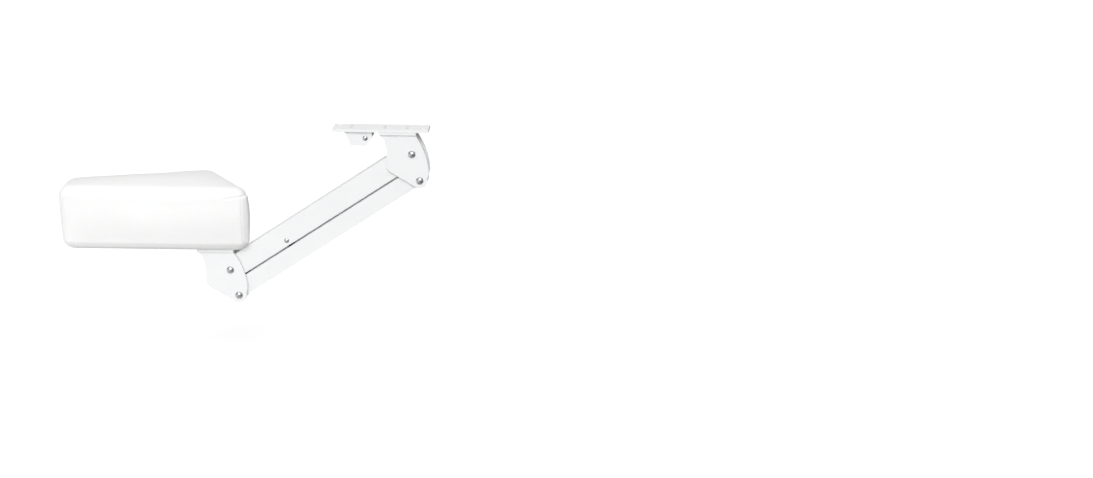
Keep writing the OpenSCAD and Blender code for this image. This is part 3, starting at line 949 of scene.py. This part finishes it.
# ---------------------------------------------------------------- cushion
VOXEL = 5 * MM
SHRINK = 0.5 * MM          # the cloth starts this far inside the CAD shape
UNDERSIDE = 4 * MM         # height of the band that the board holds
PRESSURE = 4.0
FRAMES = 20
SWELL_CAP = 7 * MM
SWELL_ROUNDS = 25          # evens out the buckles that the cloth leaves
FOAM_GIVE = 0.15           # share of an inward pull that the foam gives way to
FOAM_IN = 3 * MM           # the foams' outside, under the cover
FOAM_CRISP = 40            # degrees
FILL_LOW = 4 * MM          # the foam's fill just above the bottom edge
FILL_HIGH = 1.5 * MM       # the same below the top edge
FILL_TIP = 3.5 * MM        # the same halfway up the pointed near corner
NEAR_TIP = 45 * MM         # reach of that corner
TUCK_DOWN = 15 * MM        # crease of the tucked corner below the cushion's top
TUCK_RISE = 0.15           # slope of that crease towards the corner
FOLD_IN = 11 * MM          # vertical fold from the cushion's right end
TUCK_Z = PAD_HIGH.z - TUCK_DOWN
FOLD_X = PAD_HIGH.x - FOLD_IN
FLAP_OUT = 1.0 * MM        # the flap's edge stands out, and the cover beside it sinks in
FLAP_IN = 0.9 * MM
PUFF = 2.0 * MM            # above the crease
GROOVE = 2.4 * MM          # along the crease
LIP = 0.7 * MM             # below the crease
PLEATS = ((-34, 0.6), (-11, 1.0), (15, 0.8), (38, 0.5))     # degrees round a corner, share of depth
PLEAT_DEPTH = 1.5 * MM
PLEAT_REACH = 34 * MM
PLEATED_CORNERS = ((-1, -1), (0.4, 1), (-1, 1))             # the direction that each points in
SLACK = 0.16 * MM
SLACK_WAVES = ((17, 9, 23, 0.4), (31, 24, 12, 1.9), (11, 41, 37, 3.1), (52, 33, 61, 4.4))
HEM_GROW = 0.4 * MM        # gap between the dust cover's outline and the hem
HEM_WALL = 0.3 * MM        # how wide the hem's edge slopes


def farthest(direction):
    """The cushion's plan point farthest along a direction."""
    return max(convex_plan("cushion_cover"), key=lambda p: p.dot(Vector(direction)))


def outer_form():
    """The CAD cushion's outer shape as a closed, evenly meshed form, drawn in a little."""
    mesh = bpy.data.meshes.new("cushion_cover_body")
    with edited(frame["nodes"]["cushion_cover"].data, mesh) as bm:
        hull = bmesh.ops.convex_hull(bm, input=bm.verts)
        loose = hull["geom_interior"] + hull["geom_unused"]
        loose = [g for g in loose if isinstance(g, bmesh.types.BMVert)]
        bmesh.ops.delete(bm, geom=loose, context="VERTS")
        keep = {g for g in hull["geom"] if isinstance(g, bmesh.types.BMFace)}
        bmesh.ops.delete(bm, geom=[f for f in bm.faces if f not in keep], context="FACES_ONLY")
        bmesh.ops.recalc_face_normals(bm, faces=bm.faces)
    piece = link_object("cushion_cover_body", mesh)
    modify(piece, "REMESH", mode="VOXEL", voxel_size=VOXEL)
    places = coords(piece.data)
    inward = normals(piece.data) * SHRINK
    inward[places[:, 2] < PAD_LOW.z + UNDERSIDE, 2] = 0.0
    set_coords(piece.data, places - inward)
    return piece


def inflate(piece):
    """Cloth pressure on the pad, its underside held by the board."""
    start, outward = coords(piece.data), normals(piece.data)
    held = piece.vertex_groups.new(name="held")
    low = np.nonzero(start[:, 2] < PAD_LOW.z + UNDERSIDE)[0]
    held.add(low.tolist(), 1.0, "REPLACE")
    cloth = piece.modifiers.new("cloth", "CLOTH")
    cloth.settings.quality = 6
    cloth.settings.mass = 0.3
    cloth.settings.tension_stiffness = 20
    cloth.settings.compression_stiffness = 20
    cloth.settings.bending_stiffness = 2.0
    cloth.settings.use_pressure = True
    cloth.settings.uniform_pressure_force = PRESSURE
    cloth.settings.vertex_group_mass = "held"
    cloth.settings.effector_weights.gravity = 0
    cloth.collision_settings.use_collision = False
    cloth.point_cache.frame_start = 1
    cloth.point_cache.frame_end = FRAMES
    for number in range(1, FRAMES + 1):
        SCENE.frame_set(number)
    bake(piece)
    SCENE.frame_set(1)
    moved = coords(piece.data) - start
    swell = (moved * outward).sum(axis=1, keepdims=True)
    moved -= outward * np.minimum(swell, 0) * (1 - FOAM_GIVE)
    far = np.linalg.norm(moved, axis=1, keepdims=True)
    moved *= SWELL_CAP * np.tanh(far / SWELL_CAP) / np.maximum(far, 1e-9)
    set_coords(piece.data, start + averaged(piece.data, moved, SWELL_ROUNDS))


def fill_edges(piece):
    """The foam fills the cover out along its edges, and halfway up the pointed near corner."""
    places = coords(piece.data)
    x, y, z = places.T
    corner = farthest((1, -1))
    near = np.exp(-((np.hypot(x - corner.x, y - corner.y) / NEAR_TIP) ** 2))
    low = FILL_LOW * bump_at(z, PAD_LOW.z + 4 * MM, 9 * MM)
    high = FILL_HIGH * bump_at(z, PAD_HIGH.z - 10 * MM, 9 * MM)
    tip = FILL_TIP * bump_at(z, PAD_MIDDLE.z + 8 * MM, 38 * MM)
    fill = (low + high) * (1 - near) + tip * near
    level = even_directions(piece.data, 4) * (1, 1, 0)
    set_coords(piece.data, places + level * fill[:, None])


def cut_lines(bm, planes, wanted):
    """Cuts edges into the faces that wanted() picks, along each plane (point, normal)."""
    for point, normal in planes:
        faces = [f for f in bm.faces if wanted(f.calc_center_median())]
        edges = list({e for f in faces for e in f.edges})
        verts = list({v for f in faces for v in f.verts})
        geom = faces + edges + verts
        bmesh.ops.bisect_plane(bm, geom=geom, dist=0.02 * MM, plane_co=point, plane_no=normal)


def crease_planes(at, direction, gap):
    return [(at + direction * shift, direction) for shift in (-gap, 0.0, gap)]


def score_folds(piece):
    """Edges along the two lines where the cover folds sharply at the near corner."""

    def near(p):
        return p.y < PAD_LOW.y + 30 * MM and p.x > FOLD_X - 60 * MM

    def by_fold(p):
        return near(p) and p.z < TUCK_Z + 6 * MM

    def by_crease(p):
        return near(p) and p.x < FOLD_X + 8 * MM

    fold = crease_planes(Vector((FOLD_X, 0, 0)), Vector((1, 0, 0)), 0.4 * MM)
    across = Vector((-TUCK_RISE, 0, 1)).normalized()
    crease = crease_planes(Vector((FOLD_X, 0, TUCK_Z)), across, 0.7 * MM)
    with edited(piece.data) as bm:
        cut_lines(bm, fold, by_fold)
        cut_lines(bm, crease, by_crease)


def fold_near_corner(places):
    """Lift at the tucked corner: a puff over a crease, and a flap that ends in a vertical fold."""
    x, y, z = places.T
    side = x - FOLD_X
    z = z - TUCK_RISE * side
    near = 1 - ramp_up(y, PAD_LOW.y + 22 * MM, PAD_LOW.y + 34 * MM)
    reach = ramp_up(side, -38 * MM, -6 * MM) * (1 - ramp_up(side, 2 * MM, 12 * MM))
    over = FLAP_OUT * np.exp(np.minimum(side, 0) / (10 * MM))
    under = -FLAP_IN * np.exp(-np.maximum(side, 0) / (9 * MM))
    flap = np.where(side < 0, over, under) * (1 - ramp_up(z, TUCK_Z - 5 * MM, TUCK_Z + 2 * MM))
    flap *= 0.45 + 0.55 * ramp_up(z, PAD_LOW.z, PAD_LOW.z + 30 * MM)
    puff = PUFF * bump_at(z, TUCK_Z + 6.5 * MM, 5 * MM) * ramp_up(side, -42 * MM, -15 * MM)
    puff *= 1 - 0.6 * ramp_up(side, 6 * MM, 20 * MM)
    groove = -GROOVE * bump_at(z, TUCK_Z, 1.5 * MM) * reach
    lip = LIP * np.exp(-np.maximum(TUCK_Z - z, 0) / (6 * MM)) * (z < TUCK_Z) * reach
    return (flap + puff + groove + lip) * near


def pleats(places, corner):
    """Lift of small pleats round a corner, deepest at the bottom edge and just under the top edge."""
    x, y, z = places.T
    dx, dy = x - corner.x, y - corner.y
    out = math.atan2(corner.y - PAD_MIDDLE.y, corner.x - PAD_MIDDLE.x)
    angle = (np.degrees(np.arctan2(dy, dx)) - math.degrees(out) + 180) % 360 - 180
    reach = np.exp(-((np.hypot(dx, dy) / PLEAT_REACH) ** 2))
    low = 0.8 * bump_at(z, PAD_LOW.z + 3 * MM, 14 * MM)
    high = 0.5 * bump_at(z, PAD_HIGH.z - 6 * MM, 9 * MM)
    total = np.zeros(len(places))
    for turn, share in PLEATS:
        total -= share * bump_at(angle, turn, 4.5)
        total += 0.35 * share * bump_at(angle, turn + 9, 6.0)
    return total * (low + high) * reach * PLEAT_DEPTH


def slack(places):
    """Lift of the faint unevenness of vinyl over foam."""
    x, y, z = places.T
    return SLACK * sum(np.sin(a * x + b * y + c * z + phase) for a, b, c, phase in SLACK_WAVES)


def hem_pocket(piece):
    """Sinks the middle of the underside, where the turned-under edge of the cover leaves off."""
    plan = convex_plan("dust_cover", HEM_GROW)
    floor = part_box("dust_cover")[1].z + 0.1 * MM

    def underneath(p):
        return p.z < PAD_LOW.z + 1 * MM

    with edited(piece.data) as bm:
        for a, b in sides(plan):
            out = Vector((b.y - a.y, a.x - b.x, 0)).normalized()
            edge = Vector((a.x, a.y, 0))
            cut_lines(bm, [(edge, out), (edge - out * HEM_WALL, out)], underneath)
        for vert in bm.verts:
            if vert.co.z < PAD_LOW.z + 2 * MM:
                sunk = depth_in(plan, vert.co) > HEM_WALL - 0.1 * MM
                vert.co.z = floor if sunk else max(vert.co.z, PAD_LOW.z)


def cushion():
    """The cover: swollen by the cloth, filled by the foam, then folded, pleated and hemmed."""
    piece = outer_form()
    inflate(piece)
    fill_edges(piece)
    foam_pieces(piece)
    modify(piece, "SUBSURF", levels=2, render_levels=2)
    score_folds(piece)
    places = coords(piece.data)
    lift = fold_near_corner(places) + slack(places)
    for direction in PLEATED_CORNERS:
        lift += pleats(places, farthest(direction))
    lift *= ramp_up(places[:, 2], PAD_LOW.z + 0.5 * MM, PAD_LOW.z + 6 * MM)
    set_coords(piece.data, places + even_directions(piece.data, 16) * lift[:, None])
    hem_pocket(piece)
    smooth(piece)
    stand_in(piece, "cushion_cover")


def foam_pieces(shell):
    """The two foams, cut from the cushion's own shape just under its cover."""
    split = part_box("comfort_foam")[0].z
    for node, above in (("foam_core", False), ("comfort_foam", True)):
        mesh = bpy.data.meshes.new(node + "_body")
        with edited(shell.data, mesh) as bm:
            for vert in bm.verts:
                vert.co -= vert.normal * FOAM_IN
            cut = bmesh.ops.bisect_plane(
                bm,
                geom=bm.verts[:] + bm.edges[:] + bm.faces[:],
                plane_co=(0, 0, split),
                plane_no=(0, 0, 1),
                clear_inner=above,
                clear_outer=not above,
            )
            rim = [g for g in cut["geom_cut"] if isinstance(g, bmesh.types.BMEdge)]
            bmesh.ops.edgenet_fill(bm, edges=rim)
            bmesh.ops.recalc_face_normals(bm, faces=bm.faces)
        piece = link_object(node + "_body", mesh)
        if not above:
            modify(piece, "BOOLEAN", object=frame["nodes"]["base_board"])
        smooth(piece, FOAM_CRISP)
        stand_in(piece, node)


# ---------------------------------------------------------------- underside
HOLE_R = 3.3 * MM          # a screw's hole in the dust cover
HOLE_SIDES = 24
SHEET_STEP = 4 * MM        # between the sheet's points
SHEET_T = 0.5 * MM
SHEET_LIFT = 0.35 * MM     # the drawn sheet's middle above its lowest CAD point
SHEET_CRISP = 60           # degrees


def sheet_mesh(plan, holes):
    """Points and triangles of a flat sheet with round holes."""

    def off_holes(p):
        return min((p - hole).length for hole in holes)

    points, edges = list(plan), [(i, (i + 1) % len(plan)) for i in range(len(plan))]
    for hole in holes:
        first = len(points)
        for i in range(HOLE_SIDES):
            a = math.tau * i / HOLE_SIDES
            points.append(hole + Vector((math.cos(a), math.sin(a))) * HOLE_R)
            edges.append((first + i, first + (i + 1) % HOLE_SIDES))
    low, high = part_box("dust_cover")
    for i in range(int((high.x - low.x) / SHEET_STEP)):
        for j in range(int((high.y - low.y) / SHEET_STEP)):
            across = Vector((i + 0.5 + 0.5 * (j % 2), j + 0.5)) * SHEET_STEP
            if off_holes(low.xy + across) > HOLE_R + 1.2 * MM:
                points.append(low.xy + across)
    verts, _, triangles, *_ = geometry.delaunay_2d_cdt(points, edges, [], 0, 1e-6)
    faces = []
    for triangle in triangles:
        heart = sum((verts[i] for i in triangle), Vector((0, 0))) / 3
        if off_holes(heart) > HOLE_R * 0.97 and depth_in(plan, heart) > 0:
            faces.append(triangle)
    used = sorted({i for face in faces for i in face})
    index = {old: new for new, old in enumerate(used)}
    return [verts[i] for i in used], [tuple(index[i] for i in face) for face in faces]


def sheet_height(p, depth):
    """Faint waves of the drawn sheet: slack in its middle, pulled at its stapled edge."""
    loose = min(1.0, depth / (14 * MM))
    wave = math.sin(90 * p.x + 30 * p.y) * math.sin(160 * p.y - 25 * p.x + 1.0)
    tension = math.sin(210 * p.x) * math.exp(-depth / (9 * MM))
    return SHEET_LIFT + 0.12 * MM * loose * wave + 0.1 * MM * tension


def dust_sheet():
    """The black sheet between the hems: thin, holed for the screws, drawn tight by its staples."""
    low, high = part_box("dust_cover")
    plan = convex_plan("dust_cover")
    holes = [middle(box).xy for box in solids("cushion_bracket_screws")]
    flat, faces = sheet_mesh(plan, holes)
    verts = [(p.x, p.y, low.z + sheet_height(p, depth_in(plan, p))) for p in flat]
    piece = mesh_object("dust_cover_body", verts, faces)
    modify(piece, "SOLIDIFY", thickness=SHEET_T, offset=1.0)
    smooth(piece, SHEET_CRISP)
    stand_in(piece, "dust_cover")


# ---------------------------------------------------------------- the whole scene
camera()
room()
sun()
stage()
dress_cad_nodes()
metalwork()
hardware()
cushion()
dust_sheet()
